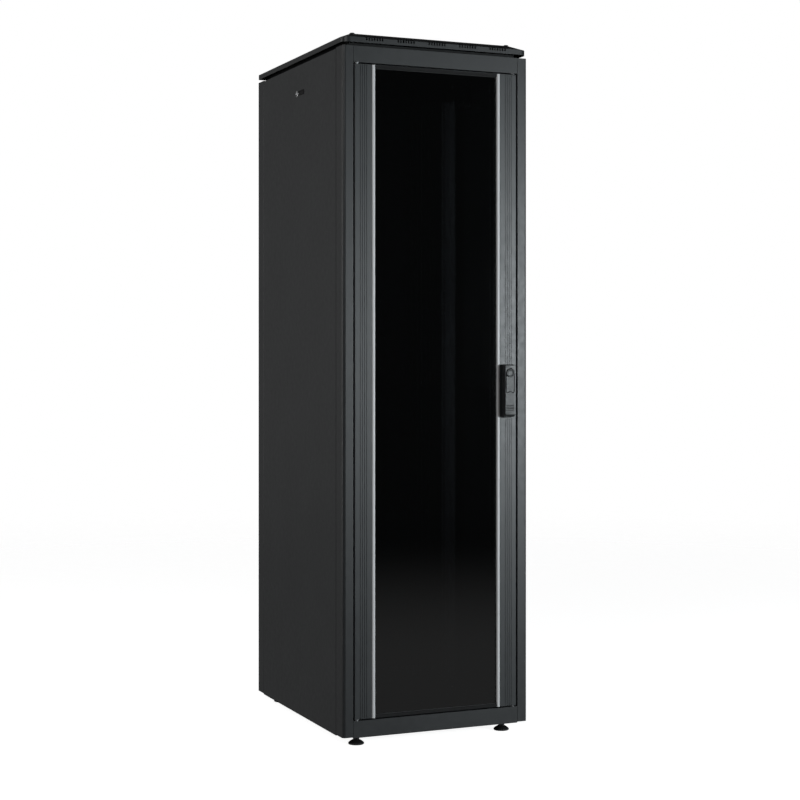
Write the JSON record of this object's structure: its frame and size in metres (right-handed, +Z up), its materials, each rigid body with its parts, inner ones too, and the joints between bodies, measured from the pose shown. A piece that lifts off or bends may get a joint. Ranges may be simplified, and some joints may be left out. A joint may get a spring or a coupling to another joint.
{
  "type": "network server rack cabinet",
  "caption": "Tall black floor-standing 19-inch network rack cabinet with glass front door, swing handle, steel rear door, lift-off side panels and levelling feet.",
  "frame": {"origin": "on the floor, at the centre of the cabinet overall width and depth", "axes": "+X to the right seen from the front, +Y to the back, +Z up"},
  "size_m": [0.603, 0.8, 2.0855],
  "materials": {
    "powder_coat_black": "fine-texture matt powder coat, RAL 9005 black",
    "powder_coat_inner": "matt powder coat",
    "rack_rail_coat": "satin grey powder coat",
    "zinc_steel": "zinc plated",
    "door_profile_coat": "satin coated aluminium extrusion",
    "satin_aluminium": "satin anodised",
    "tinted_glass": "tinted safety glass",
    "rubber_seal": "soft black rubber",
    "black_plastic": "moulded black plastic",
    "handle_plastic": "fine-grain moulded plastic",
    "bristle": "nylon bristle",
    "chrome_lock": "bright chrome",
    "foot_plastic": "moulded black plastic on a steel stud"
  },
  "bodies": {
    "frame": {"base_panel": "powder_coat_inner", "beam_bottom_left": "powder_coat_inner", "beam_bottom_right": "powder_coat_inner", "beam_middle_left": "powder_coat_inner", "beam_middle_right": "powder_coat_inner", "beam_top_left": "powder_coat_inner", "beam_top_right": "powder_coat_inner", "cable_brush": "bristle", "cable_cover": "powder_coat_inner", "corner_plates": "powder_coat_inner", "hinge_pins": "zinc_steel", "post_front_left": "powder_coat_black", "post_front_right": "powder_coat_black", "post_rear_left": "powder_coat_black", "post_rear_right": "powder_coat_black", "rack_rail_bolts": "zinc_steel", "rack_rail_brackets": "powder_coat_inner", "rack_rail_front_left": "rack_rail_coat", "rack_rail_front_right": "rack_rail_coat", "rack_rail_rear_left": "rack_rail_coat", "rack_rail_rear_right": "rack_rail_coat", "rail_front_bottom": "powder_coat_black", "rail_front_top": "powder_coat_black", "rail_rear_bottom": "powder_coat_black", "rail_rear_top": "powder_coat_black", "roof_lid": "powder_coat_black", "roof_riser": "powder_coat_inner", "roof_screws": "powder_coat_black", "spare_hinge_plugs": "zinc_steel", "top_panel": "powder_coat_inner"},
    "front_door": {"door_profile_left": "door_profile_coat", "door_profile_right": "door_profile_coat", "door_corner_blocks": "black_plastic", "door_band_bottom": "black_plastic", "door_band_top": "black_plastic", "door_strip_left": "satin_aluminium", "door_strip_right": "satin_aluminium", "door_glass": "tinted_glass", "door_seal": "rubber_seal", "handle_housing": "black_plastic", "lock_gearbox": "zinc_steel", "lock_rod_guides": "black_plastic"},
    "handle_rotor": {"handle_rotor": "powder_coat_black", "handle_tilt_pin": "zinc_steel"},
    "handle_lever": {"handle_lever": "handle_plastic"},
    "lock_cylinder": {"lock_cylinder": "chrome_lock"},
    "dust_cover": {"dust_cover": "handle_plastic"},
    "lock_rod_top": {"lock_rod_top": "zinc_steel"},
    "lock_rod_bottom": {"lock_rod_bottom": "zinc_steel"},
    "rear_door": {"rear_door_panel": "powder_coat_black", "rear_door_seal": "rubber_seal"},
    "rear_lock": {"rear_lock": "chrome_lock"},
    "side_panel_left": {"side_panel_left": "powder_coat_black"},
    "side_panel_right": {"side_panel_right": "powder_coat_black"},
    "side_lock_left": {"side_lock_left": "chrome_lock"},
    "side_lock_right": {"side_lock_right": "chrome_lock"},
    "foot_front_left": {"foot_front_left": "foot_plastic"},
    "foot_front_right": {"foot_front_right": "foot_plastic"},
    "foot_rear_left": {"foot_rear_left": "foot_plastic"},
    "foot_rear_right": {"foot_rear_right": "foot_plastic"}
  },
  "joints": [
    {"name": "front_door_hinge", "type": "hinge", "parent": "frame", "child": "front_door", "pos_m": [-0.2535, -0.362, 1.035], "axis": [0, 0, -1], "range_deg": [0, 105]},
    {"name": "handle_turn", "type": "hinge", "parent": "front_door", "child": "handle_rotor", "pos_m": [0.23, -0.379, 0.964], "axis": [0, -1, 0], "range_deg": [0, 90]},
    {"name": "handle_tilt", "type": "hinge", "parent": "handle_rotor", "child": "handle_lever", "pos_m": [0.23, -0.3885, 0.964], "axis": [1, 0, 0], "range_deg": [0, 30]},
    {"name": "lock_cylinder_turn", "type": "hinge", "parent": "handle_lever", "child": "lock_cylinder", "pos_m": [0.23, -0.391, 1.0875], "axis": [0, -1, 0], "range_deg": [0, 90]},
    {"name": "dust_cover_swing", "type": "hinge", "parent": "handle_lever", "child": "dust_cover", "pos_m": [0.23, -0.397, 1.098], "axis": [0, -1, 0], "range_deg": [0, 120]},
    {"name": "lock_rod_top_slide", "type": "slide", "parent": "front_door", "child": "lock_rod_top", "axis": [0, 0, -1], "range_m": [0, 0.02]},
    {"name": "lock_rod_bottom_slide", "type": "slide", "parent": "front_door", "child": "lock_rod_bottom", "axis": [0, 0, 1], "range_m": [0, 0.02]},
    {"name": "rear_door_hinge", "type": "hinge", "parent": "frame", "child": "rear_door", "pos_m": [0.2535, 0.385, 1.035], "axis": [0, 0, -1], "range_deg": [0, 105]},
    {"name": "rear_lock_turn", "type": "hinge", "parent": "rear_door", "child": "rear_lock", "pos_m": [-0.23, 0.394, 1.024], "axis": [0, 1, 0], "range_deg": [0, 90]},
    {"name": "side_panel_left_tilt", "type": "hinge", "parent": "frame", "child": "side_panel_left", "pos_m": [-0.3, 0.0115, 0.0313], "axis": [0, -1, 0], "range_deg": [0, 20]},
    {"name": "side_lock_left_turn", "type": "hinge", "parent": "side_panel_left", "child": "side_lock_left", "pos_m": [-0.3, 0.0165, 1.951], "axis": [1, 0, 0], "range_deg": [0, 90]},
    {"name": "side_panel_right_tilt", "type": "hinge", "parent": "frame", "child": "side_panel_right", "pos_m": [0.3, 0.0115, 0.0313], "axis": [0, 1, 0], "range_deg": [0, 20]},
    {"name": "side_lock_right_turn", "type": "hinge", "parent": "side_panel_right", "child": "side_lock_right", "pos_m": [0.3, 0.0165, 1.951], "axis": [1, 0, 0], "range_deg": [0, 90]},
    {"name": "foot_front_left_screw", "type": "slide", "parent": "frame", "child": "foot_front_left", "axis": [0, 0, -1], "range_m": [0, 0.03]},
    {"name": "foot_front_right_screw", "type": "slide", "parent": "frame", "child": "foot_front_right", "axis": [0, 0, -1], "range_m": [0, 0.03]},
    {"name": "foot_rear_left_screw", "type": "slide", "parent": "frame", "child": "foot_rear_left", "axis": [0, 0, -1], "range_m": [0, 0.03]},
    {"name": "foot_rear_right_screw", "type": "slide", "parent": "frame", "child": "foot_rear_right", "axis": [0, 0, -1], "range_m": [0, 0.03]}
  ],
  "couplings": [
    {"joint": "lock_rod_top_slide", "follows": "handle_turn", "m_per_rad": 0.012732},
    {"joint": "lock_rod_bottom_slide", "follows": "handle_turn", "m_per_rad": 0.012732}
  ]
}
